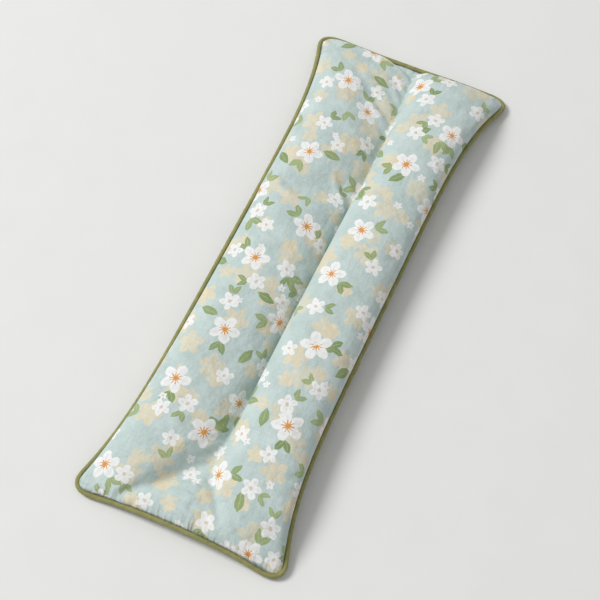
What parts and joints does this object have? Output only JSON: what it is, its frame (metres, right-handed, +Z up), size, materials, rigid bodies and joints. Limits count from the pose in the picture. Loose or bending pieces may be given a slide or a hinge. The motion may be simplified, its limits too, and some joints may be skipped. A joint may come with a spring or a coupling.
{
  "type": "eye pillow",
  "caption": "Long seed-filled cotton eye pillow with piped edge, sewn into side-by-side channels by a lengthwise seam along which it folds.",
  "frame": {"origin": "on the surface that the pillow lies on, under the middle of its outline", "axes": "+X across the pillow, +Y along it towards the end where the channel seam reaches the piping, +Z up"},
  "size_m": [0.1026, 0.2722, 0.0222],
  "materials": {
    "printed_cotton": "plain-weave cotton printed with small blossoms and leaves, matt",
    "lining_calico": "unbleached calico, matt",
    "seed_filling": "loose smooth seed",
    "piping_cotton": "bias-cut olive cotton over cord, matt",
    "piping_cord": "twisted cotton cord, matt",
    "thread": "spun sewing thread, slight sheen"
  },
  "bodies": {
    "left_channel": {"top_panel_left": "printed_cotton", "bottom_panel_left": "printed_cotton", "lining_top_left": "lining_calico", "lining_bottom_left": "lining_calico", "filling_left": "seed_filling", "piping_cover_left": "piping_cotton", "piping_cord_left": "piping_cord", "edge_stitch_left": "thread", "channel_stitch_top": "thread", "channel_stitch_bottom": "thread"},
    "right_channel": {"top_panel_right": "printed_cotton", "bottom_panel_right": "printed_cotton", "lining_top_right": "lining_calico", "lining_bottom_right": "lining_calico", "filling_right": "seed_filling", "piping_cover_right": "piping_cotton", "piping_cord_right": "piping_cord", "piping_join_lap": "piping_cotton", "edge_stitch_right": "thread", "closing_stitch": "thread"}
  },
  "joints": [
    {"name": "seam_fold", "type": "hinge", "parent": "left_channel", "child": "right_channel", "pos_m": [0.004, 0, 0.0074], "axis": [0, -1, 0], "range_deg": [0, 65]}
  ]
}
